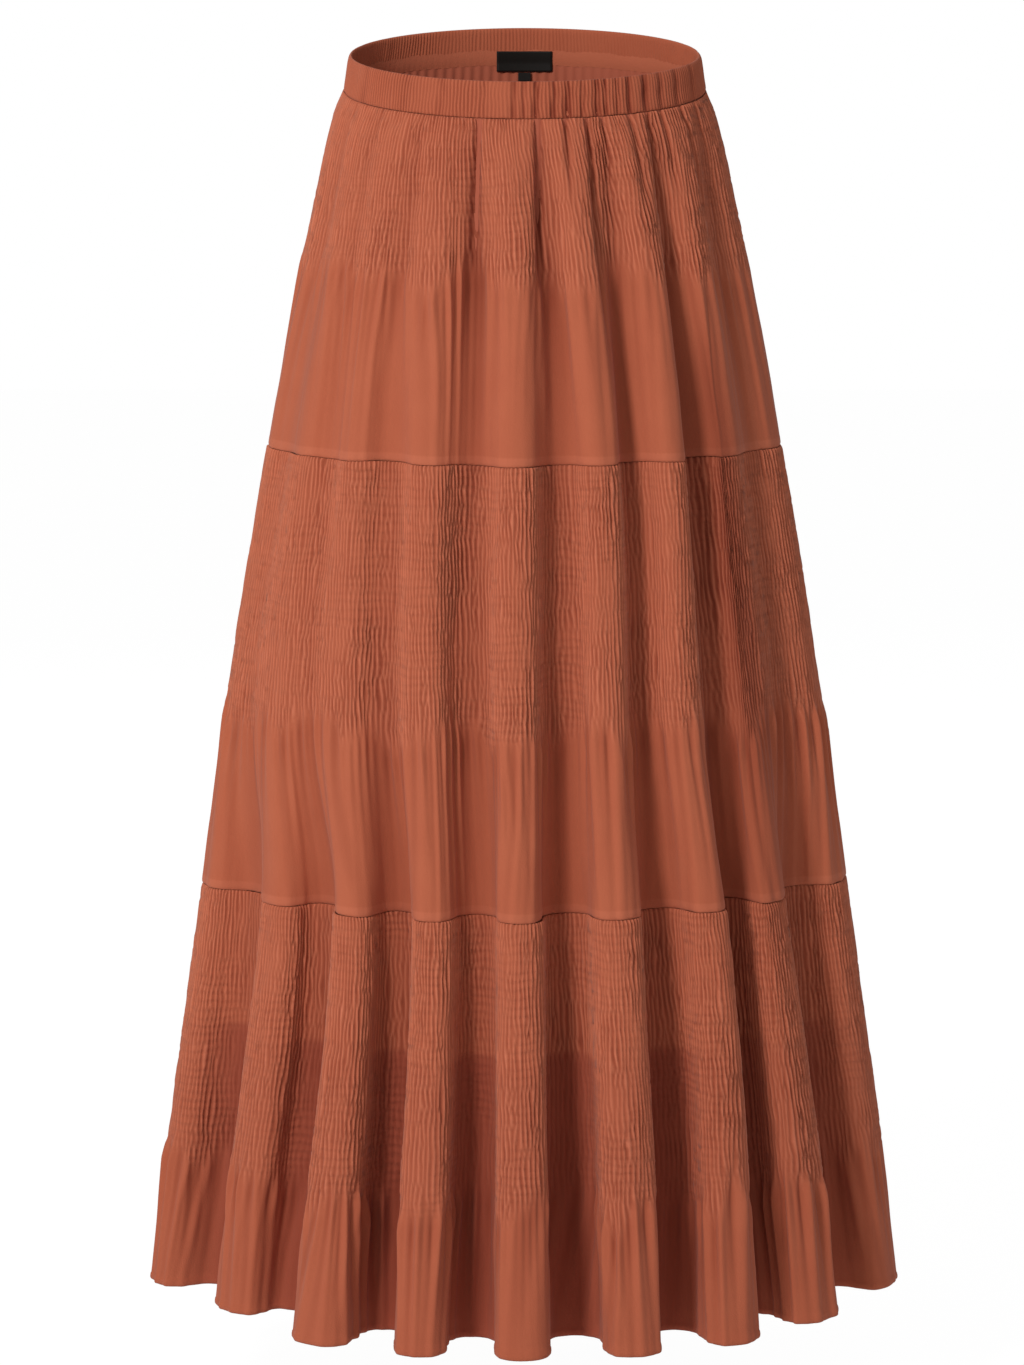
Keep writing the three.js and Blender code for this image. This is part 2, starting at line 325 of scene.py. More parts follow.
def woven_cloth(name, colour, shade_colour, thread_mm, thread_depth_mm, roughness):
    """Woven cloth: fine threads in the bump, and a faint unevenness in the dye."""
    material = bpy.data.materials.new(name)
    material.use_nodes = True
    tree = material.node_tree
    tree.nodes.clear()
    place = add_node(tree, "ShaderNodeTexCoord").outputs["Object"]
    cloudy = add_node(
        tree, "ShaderNodeTexNoise", [("Vector", place)], Scale=1 / DYE_PATCH, Detail=4.0
    )
    dye = add_node(tree, "ShaderNodeMix", [("Factor", cloudy.outputs["Fac"])], data_type="RGBA")
    dye.inputs[6].default_value = srgb(shade_colour)
    dye.inputs[7].default_value = srgb(colour)
    threads = add_node(
        tree, "ShaderNodeTexNoise", [("Vector", place)], Scale=1 / (thread_mm * MM), Detail=2.0
    )
    relief = add_node(
        tree,
        "ShaderNodeBump",
        [("Height", threads.outputs["Fac"])],
        Strength=1.0,
        Distance=thread_depth_mm * MM,
    )
    cloth = add_node(
        tree,
        "ShaderNodeBsdfPrincipled",
        [("Base Color", dye.outputs[2]), ("Normal", relief.outputs["Normal"])],
        name="cloth",
        Roughness=roughness,
        Specular_IOR_Level=CLOTH_SPECULAR,
        Sheen_Weight=CLOTH_SHEEN,
        Sheen_Roughness=CLOTH_SHEEN_ROUGHNESS,
    )
    add_node(tree, "ShaderNodeOutputMaterial", [("Surface", cloth.outputs[0])])
    return material


def shade_by(material, key, colour):
    """Takes a cloth's colour towards another where a stored value of the mesh says so."""
    tree = material.node_tree
    surface = tree.nodes["cloth"].inputs["Base Color"]
    ground = surface.links[0].from_socket
    stored = add_node(tree, "ShaderNodeAttribute", attribute_name=key)
    links = [("Factor", stored.outputs["Fac"]), (6, ground)]
    mixed = add_node(tree, "ShaderNodeMix", links, data_type="RGBA")
    mixed.inputs[7].default_value = srgb(colour)
    tree.links.new(mixed.outputs[2], surface)


def pucker_by(material, key, row_mm, depth_mm):
    """Adds soft puckers down a cloth, one to each row of elastic, where a stored value says so."""
    tree = material.node_tree
    surface = tree.nodes["cloth"].inputs["Normal"]
    threads = surface.links[0].from_socket
    lengthwise = add_node(tree, "ShaderNodeUVMap", uv_map="cloth").outputs["UV"]
    rows = add_node(
        tree,
        "ShaderNodeTexWave",
        [("Vector", lengthwise)],
        wave_type="BANDS",
        bands_direction="Y",
        Scale=math.pi / (10 * row_mm * MM),
        Distortion=5.0,
        Detail=2.0,
        Detail_Scale=0.6,
    )
    stored = add_node(tree, "ShaderNodeAttribute", attribute_name=key)
    height = add_node(
        tree,
        "ShaderNodeMath",
        [(0, rows.outputs["Fac"]), (1, stored.outputs["Fac"])],
        operation="MULTIPLY",
    )
    puckers = add_node(
        tree,
        "ShaderNodeBump",
        [("Height", height.outputs[0]), ("Normal", threads)],
        Strength=1.0,
        Distance=depth_mm * MM,
    )
    tree.links.new(puckers.outputs["Normal"], surface)


# Crinkled viscose, piece-dyed: limp and matt, with a slightly uneven dye. It is paler where it lies
# double, and paler on the crests of its crinkles, which is a painted highlight. Where no lining
# backs it, painted shade darkens it, most of all down in the folds. Painted shade makes it darkest
# down in its grooves. Its threads are drawn coarser than real ones so that they show.
VISCOSE = "#BC6648"
VISCOSE_DEEP = "#B25C40"
VISCOSE_DOUBLED_AND_HIGHLIGHT = "#CE7658"
VISCOSE_UNLINED_SHADE = "#A04E39"
VISCOSE_GROOVE_SHADE = "#7C3320"
VISCOSE_THREAD = 1.1
VISCOSE_THREAD_DEPTH = 0.22
VISCOSE_ROUGHNESS = 0.9
ELASTIC_ROW = 6.5
PUCKER_DEPTH = 0.55
viscose = woven_cloth(
    "crinkled_viscose",
    VISCOSE,
    VISCOSE_DEEP,
    VISCOSE_THREAD,
    VISCOSE_THREAD_DEPTH,
    VISCOSE_ROUGHNESS,
)
# Pale doubled cloth with a painted highlight on the crinkle crests, painted shade below the lining
# hem, and painted shade in the grooves.
shade_by(viscose, "doubled_and_crest_highlight", VISCOSE_DOUBLED_AND_HIGHLIGHT)
shade_by(viscose, "unlined_shade", VISCOSE_UNLINED_SHADE)
shade_by(viscose, "painted_groove_shade", VISCOSE_GROOVE_SHADE)
pucker_by(viscose, "shirring", ELASTIC_ROW, PUCKER_DEPTH)

BAND_RIB = 2.5
BAND_RIBS = 292
BAND_STEPS_PER_RIB = 5
BAND_RIB_HEIGHT = 0.52
BAND_RIB_WANDER = ((0.30, 6, 9, 0),)
BAND_RIB_MEAN = 0.75
BAND_RIB_PATCHES = ((0.45, 24, 60, 1),)
BAND_SEED = 11
# The band's section: how far down it each row lies, how far in from the outer face, and
# how strongly the ribs show there.
BAND_PROFILE = (
    (27.0, 1.3, 0.3), (26.2, 0.5, 0.6), (24.5, 0.1, 1.0), (21.5, -0.1, 1.0), (18.0, -0.2, 1.0),
    (14.0, -0.2, 1.0), (10.0, -0.2, 1.0), (6.0, -0.1, 1.0), (3.0, 0.1, 0.9), (1.2, 0.5, 0.7),
    (0.3, 0.9, 0.5), (0.0, 1.4, 0.4), (0.4, 1.9, 0.4), (1.4, 2.3, 0.6), (4.0, 2.4, 0.8),
    (8.0, 2.4, 0.9), (13.0, 2.4, 0.9), (18.0, 2.4, 0.8), (23.0, 2.4, 0.5), (27.0, 2.4, 0.3),
)
BAND_OUTER_FACE = 1.5
# Deeper gathers in the band: the angle from the centre front in degrees, the depth as a
# part of BAND_GATHER_DEPTH, and the half width in degrees.
BAND_GATHERS = (
    (-62, 0.5, 2.2), (-41, 0.5, 1.8), (-27, 0.5, 1.5), (-13, 0.5, 1.2), (-3.4, 1.1, 1.0),
    (-0.4, 0.9, 0.8), (3.6, 1.5, 1.1), (9.3, 1.3, 1.2), (13.8, 1.6, 1.4), (18.5, 0.9, 0.9),
    (23.4, 1.5, 1.2), (26.2, 1.3, 0.9), (30.5, 0.8, 1.0), (35.0, 1.5, 1.2), (41.6, 1.5, 1.4),
    (48.5, 0.9, 1.4), (57, 0.9, 1.6), (68, 0.6, 1.6), (96, 0.6, 1.8), (112, 0.8, 1.6),
    (127, 0.5, 1.5), (149, 0.7, 1.5), (163, 0.5, 1.2), (181, 0.6, 1.6), (199, 0.8, 1.6),
    (214, 0.6, 1.8), (233, 0.7, 1.6), (251, 0.5, 1.8),
)
BAND_GATHER_DEPTH = 1.9
BAND_GATHER_WANDER = ((0.5, 9, 8, 2),)
BAND_GATHER_MEAN = 0.7
BAND_GATHER_PATCHES = ((0.3, 30, 12, 3),)
BAND_GATHER_INSIDE = 0.25
# How dark the painted shade in the band's grooves is: everywhere, and for each rib and each mm of
# gather.
BAND_GROOVE_SHADE = 0.14
BAND_RIB_GROOVE_SHADE = 0.45
BAND_GATHER_GROOVE_SHADE = 0.35
LEFT_SIDE = -math.pi / 2


def level_out(angle):
    """The level outward direction of the waist's ellipse at each angle."""
    rim = section_at(SKIRT_SECTIONS, RIM)
    return ellipse_points(rim, angle, 0.0) - ellipse_points(rim, angle, 1.0)


band_columns = BAND_RIBS * BAND_STEPS_PER_RIB
band_share = np.arange(band_columns) / band_columns
band_angle = LEFT_SIDE + 2 * math.pi * band_share
band_across = band_share * BAND_RIBS * BAND_RIB
band_grid = np.array([
    ellipse_points(section_at(SKIRT_SECTIONS, -down), band_angle, inwards)
    for down, inwards, _ in BAND_PROFILE
])
band_down, band_inwards, band_strength = (np.array(v)[:, None] for v in zip(*BAND_PROFILE))
is_outer = band_inwards < BAND_OUTER_FACE
rib_wander = uneven(band_across, band_down, BAND_SEED, BAND_RIB_WANDER)
rib_size = BAND_RIB_MEAN + uneven(band_across, band_down, BAND_SEED, BAND_RIB_PATCHES)
ribs = np.cos(2 * math.pi * (band_across / BAND_RIB + rib_wander)) * rib_size * BAND_RIB_HEIGHT
gathers = 0 * ribs
for angle, depth, half_width in BAND_GATHERS:
    away = (np.degrees(band_angle) - angle + 180) % 360 - 180
    chance = uneven(0 * band_across + angle, band_down, BAND_SEED, BAND_GATHER_WANDER)
    away = away + half_width * chance
    gathers = gathers - BAND_GATHER_DEPTH * depth * np.exp(-((away / half_width) ** 2))
gather_patches = uneven(band_across, band_down, BAND_SEED, BAND_GATHER_PATCHES)
gathers = gathers * (BAND_GATHER_MEAN + gather_patches)
band_relief = (ribs + np.where(is_outer, gathers, gathers * BAND_GATHER_INSIDE)) * band_strength
band_grid = band_grid + level_out(band_angle)[None] * band_relief[..., None]
# Painted shade: the band darkens down between its ribs and in its gathers.
band_groove_shade = BAND_GROOVE_SHADE - BAND_RIB_GROOVE_SHADE * ribs / BAND_RIB_HEIGHT - BAND_GATHER_GROOVE_SHADE * gathers
band_groove_shade = np.clip(band_groove_shade, 0, 1) * is_outer
# The profile runs from the foot of the outer face, over the rim and down inside, so its
# rows are turned round for the faces to point outwards.
band = make_sheet(
    "waistband_casing",
    band_grid[::-1],
    band_across,
    viscose,
    is_ring=True,
    shades={"painted_groove_shade": band_groove_shade[::-1]},
)
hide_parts("waistband")


# ---- waist seam allowance ----
# The raw edges of the waist seam, overlocked together and pressed up inside the band. It
# shows along the inside of the back as a narrow strip with a slightly wavy seam under it.
ALLOWANCE_TOP = 17.5
ALLOWANCE_FOOT = 28.6
ALLOWANCE_INWARDS = 2.75
ALLOWANCE_ROWS = 9
ALLOWANCE_COLUMNS = 900
ALLOWANCE_RADIUS = 117
ALLOWANCE_ROLL = 0.25
ALLOWANCE_TONE = 0.35
# The waves of its edge: how many in the ring, where they start, and their height.
ALLOWANCE_WAVES = ((17, 0.0, 0.45), (41, 1.0, 0.315))
ALLOWANCE_STRAIGHTENS = 0.6
OVERLOCK_PITCH = 1.6
OVERLOCK_HEIGHT = 0.16
OVERLOCK_WIDTH = 4
OVERLOCK_PULL = 0.3
OVERLOCK_PULL_PITCH = 3 * OVERLOCK_PITCH
allowance_angle = LEFT_SIDE + 2 * math.pi * np.arange(ALLOWANCE_COLUMNS) / ALLOWANCE_COLUMNS
allowance_across = allowance_angle * ALLOWANCE_RADIUS
allowance_down = np.linspace(ALLOWANCE_TOP, ALLOWANCE_FOOT, ALLOWANCE_ROWS)[:, None]
allowance_grid = np.array([
    ellipse_points(section_at(SKIRT_SECTIONS, -down), allowance_angle, ALLOWANCE_INWARDS)
    for down in allowance_down[:, 0]
])
edge_wave = OVERLOCK_PULL * np.cos(2 * math.pi * allowance_across / OVERLOCK_PULL_PITCH)
for turns, start, height in ALLOWANCE_WAVES:
    edge_wave = edge_wave + height * np.sin(turns * allowance_angle + start)
straight = ALLOWANCE_STRAIGHTENS * step_between(ALLOWANCE_TOP, ALLOWANCE_FOOT, allowance_down)
allowance_grid[..., 2] += edge_wave * (1 - straight)
overlock = OVERLOCK_HEIGHT * np.cos(2 * math.pi * allowance_across / OVERLOCK_PITCH)
overlock = overlock * (allowance_down < ALLOWANCE_TOP + OVERLOCK_WIDTH)
down_share = (allowance_down - ALLOWANCE_TOP) / (ALLOWANCE_FOOT - ALLOWANCE_TOP)
roll = ALLOWANCE_ROLL * np.sin(math.pi * down_share)
allowance_grid = allowance_grid - level_out(allowance_angle)[None] * (overlock + roll)[..., None]
# The columns run the other way, because this strip is seen from inside.
allowance = make_sheet(
    "waist_seam_allowance",
    allowance_grid[:, ::-1],
    -allowance_across,
    viscose,
    is_ring=True,
    shades={"doubled_and_crest_highlight": ALLOWANCE_TONE},
)


# ---- tiers ----
# Three rings of viscose, each a front and a back half joined at the side seams. The upper
# part of each is shirred on rows of elastic thread into fine upright crinkles. Below the
# shirring the cloth springs free in small gathers and joins the deep hanging folds.
FOLD_HEIGHTS = (BAND_SEAM, -110, SEAM_1, -500, SEAM_2, HEM)
# For each fold of the front: the crest's angle in degrees and the depth of the hollow after
# it, both at each of those heights, and how far the crest stands inside the section at the hem.
FRONT_FOLDS = (
    ((-77, -77, -77, -77, -76, -79), (0, 3, 5, 6, 22, 44), 5),
    ((-60, -59, -57, -54, -49, -55.5), (0, 3, 7, 6, 24, 48), 24),
    ((-44, -43, -40, -36, -31, -31.2), (0, 4, 12, 15, 30, 56), 0),
    ((-27, -25, -22, -18.8, -16.2, -16), (0, 8, 16, 22, 29, 55), 0),
    ((-5.5, -2.2, -1.7, -1.5, -1.2, -0.6), (0, 9, 19, 27, 34, 59), 0),
    ((12, 14.5, 17, 16, 16, 16.4), (0, 10, 21, 23, 33, 54), 0),
    ((31, 34, 34, 31.5, 34, 32.5), (0, 9, 18, 20, 36, 54), 0),
    ((53, 52, 50, 48, 47.6, 50.5), (0, 5, 10, 12, 24, 50), 8),
    ((75, 75, 75, 74, 73, 78), (0, 2, 5, 7, 8, 14), 5),
)
# For each fold of the back: how far it stands off its even place in degrees, how deep its
# hollow is as a part of BACK_HOLLOW, and its crest's place inside the section at the hem.
BACK_HOLLOW = (0, 6, 15, 19, 29, 53)
BACK_FOLDS = (
    (0, 0.8, 5), (1.5, 1.0, 10), (-1.0, 1.1, 0), (0.5, 0.95, 6), (1.5, 1.1, 0),
    (-0.5, 1.0, 0), (-1.5, 1.05, 8), (1.0, 0.9, 0), (0.5, 0.95, 12), (0, 0, 5),
)
SIDE_HOLLOW = (0, 2, 5, 7, 8, 14)
INSET_GROWTH = (0, 0, 0, 0, 0.3, 1)
# The middle of each hollow sinks a little further than the fold itself.
EXTRA_HOLLOW = (1.0, 2.5, 2.0, 4.0, 4.0, 3.0)
EXTRA_HALF_WIDTH = 0.13
# A deep fold is wider at its crest and in its hollow than at the neck between them.
NECK = 0.095
NECK_DEPTH = 50
LEFT_SEAM = -0.5
RIGHT_SEAM = len(FRONT_FOLDS) - 0.5
FULL_TURN = LEFT_SEAM + len(FRONT_FOLDS) + len(BACK_FOLDS)


def folds_at(z):
    """Each fold's crest angle in degrees, the hollow after it and its crest's inset at a height."""
    growth = smooth_at(FOLD_HEIGHTS, INSET_GROWTH, z)
    folds = [
        [smooth_at(FOLD_HEIGHTS, crest, z), smooth_at(FOLD_HEIGHTS, hollow, z), inset * growth]
        for crest, hollow, inset in FRONT_FOLDS
    ]
    first_back, last_back = 180 - folds[-1][0], 180 - folds[0][0]
    back_hollow = smooth_at(FOLD_HEIGHTS, BACK_HOLLOW, z)
    for k, (shift, part, inset) in enumerate(BACK_FOLDS):
        even = first_back + (last_back - first_back) * k / (len(BACK_FOLDS) - 1)
        folds.append([even + shift, back_hollow * part, inset * growth])
    folds[-1][1] = smooth_at(FOLD_HEIGHTS, SIDE_HOLLOW, z)
    return np.array(folds)


def folded_points(z, place):
    """The folded cloth's outer face at a height, and the angles of its points. A whole
    number of place is a fold's crest, and the half after it is the hollow."""
    section, folds = section_at(SKIRT_SECTIONS, z), folds_at(z)
    count = len(folds)
    k = np.floor(place).astype(int)
    since = place - k
    turn = 2 * math.pi * since
    crest, hollow, inset = folds[k % count].T
    next_crest, _, next_inset = folds[(k + 1) % count].T
    crest = np.radians(crest + 360 * (k // count))
    spacing = np.radians(next_crest + 360 * ((k + 1) // count)) - crest
    depth = hollow * (1 - np.cos(turn)) / 2
    depth = depth + inset + (next_inset - inset) * (1 - np.cos(turn / 2)) / 2
    neck = NECK * np.minimum(1, hollow / NECK_DEPTH)
    angle = crest + spacing * since + spacing * neck * np.sin(2 * turn)
    return ellipse_points(section, angle, depth), angle


def extra_hollow(z, place):
    """How far the middle of each main hollow sinks further than the fold, less in shallow ones."""
    most = np.array([smooth_at(FOLD_HEIGHTS, EXTRA_HOLLOW, height) for height in z[:, 0]])
    hollows = np.array([folds_at(height)[:, 1] for height in z[:, 0]])
    here = hollows[:, np.floor(place).astype(int) % hollows.shape[1]]
    usual = np.maximum(1, np.median(hollows, axis=1))
    middle = np.exp(-((((place % 1) - 0.5) / EXTRA_HALF_WIDTH) ** 2))
    return most[:, None] * middle * np.minimum(1, here / usual[:, None])


# Smaller creases between the main folds: the angle at the top and at the foot, the heights
# of the top and the foot, the depth of the trough and its half width.
CREASES = (
    (-12.6, -11.8, -140, -430, 3.2, 4.5), (6.6, 7.4, -140, -430, 3.2, 4.5),
    (24.6, 24.4, -140, -430, 3.2, 4.5), (42.6, 41.2, -140, -430, 3.2, 4.5),
    (49, 48, -190, -760, 7, 15), (-66, -66, -30, -150, 0.9, 3.0),
    (-50, -50, -28, -120, 1.2, 2.6), (-33, -31, -28, -170, 1.4, 3.0),
    (-19, -18, -28, -90, 1.2, 2.2), (-14.4, -13.6, -27, -250, 5.6, 3.0),
    (3.8, 4.6, -27, -250, 6.4, 2.7), (12.4, 12.6, -27, -125, 4.4, 2.2),
    (19.2, 20.4, -27, -260, 4.4, 3.0), (24.4, 25.2, -27, -150, 3.0, 2.6),
    (34.0, 35.5, -27, -150, 3.0, 3.2), (41.0, 41.8, -27, -220, 3.2, 3.2),
    (46.7, 48.0, -27, -130, 2.4, 2.6), (57, 60, -28, -170, 2.2, 3.2),
    (66, 67, -30, -150, 1.4, 3.2), (9.5, 10.0, -170, -330, 1.4, 2.6),
    (17.5, 18.5, -180, -350, 1.6, 2.6), (98, 99, -28, -150, 2.4, 3.4),
    (109, 110, -28, -110, 1.8, 2.6), (121, 122, -28, -230, 2.6, 3.6),
    (133, 132, -28, -120, 1.8, 2.8), (144, 146, -28, -200, 2.8, 3.4),
    (156, 155, -28, -140, 2.0, 2.8), (167, 168, -28, -240, 3.2, 3.6),
    (179, 178, -28, -120, 1.6, 2.8), (190, 192, -28, -190, 2.6, 3.2),
    (202, 202, -28, -130, 2.2, 3.0), (214, 213, -28, -230, 2.8, 3.6),
    (226, 227, -28, -120, 1.6, 2.8), (238, 239, -28, -180, 2.4, 3.4),
    (252, 251, -28, -130, 1.4, 3.0),
)
# The radius in mm at which angles are turned to a crease's width.
CREASE_RADIUS = 150
# A crease widens on its way down, from this part of its half width by this much more.
CREASE_START_WIDTH = 0.8
CREASE_WIDENS = 0.9
# The parts of its length over which it deepens at its top and fades out to its foot.
CREASE_DEEPENS = (-0.04, 0.12)
CREASE_FADES = (0.35, 1.0)


def crease_depth(angle, z):
    """How far the small creases take the cloth inwards at points of a grid."""
    degrees = np.degrees(angle)
    depth = 0 * degrees
    for top_angle, foot_angle, top, foot, deep, half_width in CREASES:
        down = (top - z) / (top - foot)
        line = top_angle + (foot_angle - top_angle) * down
        away = np.radians((degrees - line + 180) % 360 - 180) * CREASE_RADIUS
        wide = half_width * (CREASE_START_WIDTH + CREASE_WIDENS * down)
        window = step_between(*CREASE_DEEPENS, down) * step_between(*reversed(CREASE_FADES), down)
        depth = depth + deep * np.exp(-((away / wide) ** 2)) * window
    return depth


# For each tier: its top and foot, where its shirring ends, the width and height of a
# crinkle, and the height of the gathers under the shirring and how far down they reach.
# The tiers meet at a seam with a hair's gap between them.
SEAM_GAP = 0.3
TIERS = {
    1: dict(top=BAND_SEAM - SEAM_GAP, foot=SEAM_1 + SEAM_GAP / 2, shirr_end=-152, pitch=3.0,
            crinkle=0.80, gather=2.2, gather_reach=70),
    2: dict(top=SEAM_1 - SEAM_GAP / 2, foot=SEAM_2 + SEAM_GAP / 2, shirr_end=-497, pitch=3.1,
            crinkle=0.80, gather=3.0, gather_reach=85),
    3: dict(top=SEAM_2 - SEAM_GAP / 2, foot=HEM, shirr_end=-842, pitch=3.3,
            crinkle=0.80, gather=3.4, gather_reach=70),
}
STEPS_PER_CRINKLE = 4
MEASURING_STEPS = 8000
ROW_STEP = 5.4
EDGE_ROWS = (0.0, 0.7, 1.8, 3.4)
# The seam allowance behind a tier's foot reaches this far up, and ends within these two.
ALLOWANCE_DEEP = 6.5
ALLOWANCE_EDGE = (0.8, -0.4)
# The rolled hem below and behind the cloth's foot: how far up it each row lies, and how far
# out from the cloth.
HEM_ROLL = (
    (5.5, 0.0), (4.6, 0.45), (2.6, 0.6), (0.9, 0.35), (0.0, -0.4), (0.5, -1.1), (2.4, -1.4),
    (5.0, -1.2),
)


def row_heights(tier, is_hemmed):
    """A tier's rows: close together at its seams, and even between them."""
    top_rows = [tier["top"] - d for d in EDGE_ROWS]
    if is_hemmed:
        foot_rows = [tier["foot"] + up for up, _ in HEM_ROLL]
    else:
        foot_rows = [tier["foot"] + ALLOWANCE_DEEP + edge for edge in ALLOWANCE_EDGE]
        foot_rows += [tier["foot"] + d for d in reversed(EDGE_ROWS)]
    count = round((top_rows[-1] - foot_rows[0]) / ROW_STEP)
    middle = np.linspace(top_rows[-1], foot_rows[0], count + 1)[1:-1]
    return np.array(top_rows + list(middle) + foot_rows)


def column_places(tier, first_place, last_place):
    """A tier's columns, even along its shirred cloth: how far along it each lies in mm, and
    its place among the folds."""
    fine = np.linspace(first_place, last_place, MEASURING_STEPS)
    measured, _ = folded_points((tier["top"] + tier["shirr_end"]) / 2, fine)
    steps = np.linalg.norm(np.diff(measured, axis=0), axis=1)
    travelled = np.concatenate([[0], np.cumsum(steps)])
    crinkles = round(travelled[-1] / tier["pitch"])
    across = np.linspace(0, travelled[-1], crinkles * STEPS_PER_CRINKLE + 1)
    return across, np.interp(across, travelled, fine)


# How far the end of the shirring wanders, and over how many mm each way it fades.
SHIRR_END_WANDER = ((11, 15, 9, 4), (5, 5, 9, 9))
SHIRR_END_FADE = 9
# Crinkles wander by these parts of their width, and their height changes in patches.
CRINKLE_WANDER = ((0.42, 5, 9, 0), (0.25, 22, 60, 1))
CRINKLE_MEAN = 0.90
CRINKLE_PATCHES = ((0.35, 26, 55, 2), (0.3, 6, 14, 3))
CRINKLE_LIMITS = (0.15, 1.4)
CRINKLE_SHARPNESS = 0.2
UNSHIRRED_CRINKLE = 0.06
# How dark the painted shade in a crinkle's groove is and how pale the painted highlight on its
# crest:
# level with the cloth, for each mm that it lies lower or higher, and at the most.
CRINKLE_GROOVE_SHADE = (-0.02, 0.70, 0.75)
CRINKLE_CREST_HIGHLIGHT = (0.15, 0.95, 0.9)
PUCKER_MEAN = 0.55
PUCKER_LEAST = 0.1
PUCKER_PATCHES = ((0.8, 30, 45, 12),)


def crinkles_on(tier, across, z, shirred, seed):
    """The height of a tier's crinkles, as if it were shirred all over and then as it is:
    ridges that wander, run together and fade in patches."""
    wander = uneven(across, z, seed, CRINKLE_WANDER)
    size = np.clip(CRINKLE_MEAN + uneven(across, z, seed, CRINKLE_PATCHES), *CRINKLE_LIMITS)
    phase = 2 * math.pi * (across / tier["pitch"] + wander)
    crinkle = tier["crinkle"] * size * (np.cos(phase) + CRINKLE_SHARPNESS * np.cos(2 * phase))
    return crinkle, crinkle * (UNSHIRRED_CRINKLE + (1 - UNSHIRRED_CRINKLE) * shirred)


GATHER_WIDTH = 14
GATHER_START = 14
GATHER_WANDER = ((1.3, 38, 260, 5),)
GATHER_MEAN = 0.65
GATHER_PATCHES = ((0.5, 40, 300, 6),)
GATHER_LIMITS = (0.1, 1.2)
GATHER_DOUBLE = 0.35
GATHER_DOUBLE_SHIFT = 0.6
# Painted shade in the grooves of the gathers.
GATHER_GROOVE_SHADE = 0.14
GATHER_GROOVE_SHADE_MOST = 0.4
FINE_GATHER = 0.28
FINE_GATHER_WIDTH = 6.5
FINE_GATHER_WANDER = ((0.6, 18, 120, 10),)


def gathers_on(tier, across, z, shirr_end, seed):
    """The height of the gathers where the cloth springs free below the shirring, which fade
    further down, and how dark the painted shade in their grooves is."""
    below = shirr_end - z
    fade = np.exp(-np.maximum(below, 0) / tier["gather_reach"])
    strength = step_between(-GATHER_START, GATHER_START, below) * fade
    bunch = 2 * math.pi * (across / GATHER_WIDTH + uneven(across, z, seed, GATHER_WANDER))
    size = np.clip(GATHER_MEAN + uneven(across, z, seed, GATHER_PATCHES), *GATHER_LIMITS)
    broad = np.cos(bunch) + GATHER_DOUBLE * np.cos(2 * bunch + GATHER_DOUBLE_SHIFT)
    fine_wander = uneven(across, z, seed, FINE_GATHER_WANDER)
    fine = np.cos(2 * math.pi * (across / FINE_GATHER_WIDTH + fine_wander))
    height = tier["gather"] * (size * strength * broad + FINE_GATHER * strength**2 * fine)
    painted_groove_shade = -GATHER_GROOVE_SHADE * tier["gather"] * strength * np.cos(bunch)
    return height, np.clip(painted_groove_shade, 0, GATHER_GROOVE_SHADE_MOST)


def outward(grid):
    """The cloth's outward direction at each point of a grid, rows from the top down."""
    along = np.gradient(grid, axis=1)
    up = -np.gradient(grid, axis=0)
    out = np.cross(along, up)
    return out / np.maximum(np.linalg.norm(out, axis=2, keepdims=True), 1e-9)


def roll_hem(relief, out):
    """Rolls the last rows of a cloth's relief round its hem, along the row above them."""
    rolled = len(HEM_ROLL)
    relief[-rolled:] = relief[-rolled - 1] + np.array([forward for _, forward in HEM_ROLL])[:, None]
    out[-rolled:] = out[-rolled - 1]


# The soft unevenness of the hanging cloth, everywhere on it.
CLOTH_WANDER = ((0.9, 26, 160, 7), (0.4, 9, 80, 8), (0.30, 4, 30, 11))
# Painted shade that darkens the deeper hollows and creases by their depth.
TROUGH_SHADE = 0.09
# Each edge tucks in at its seam by this much, within this reach. Beside the side seams
# only this part of the relief is left.
SEAM_TUCK = 1.1
SEAM_TUCK_REACH = 0.9
SIDE_TUCK_REACH = 1.0
SIDE_CALM = 16
SIDE_RELIEF = 0.1
ALLOWANCE_LIFT = 0.06
DOUBLED_AT_SEAM = 0.28
# A seam waves a little up and down. Both tiers at a seam use its number as the seed.
FOLD_SPAN = 60
SEAM_WAVE = ((0.8, 22, 9, 0),)
SEAM_WAVE_REACH = 12
# Below the lining's hem nothing backs the thin cloth, and painted shade darkens it for the dark
# inside that shows through: a little on the crests and above all down in the folds. Its tone
# changes within this much of that hem.
LINING_HEM = -737
LINING_HEM_FADE = 3
UNLINED_SHADE_ON_CREST = 0.12


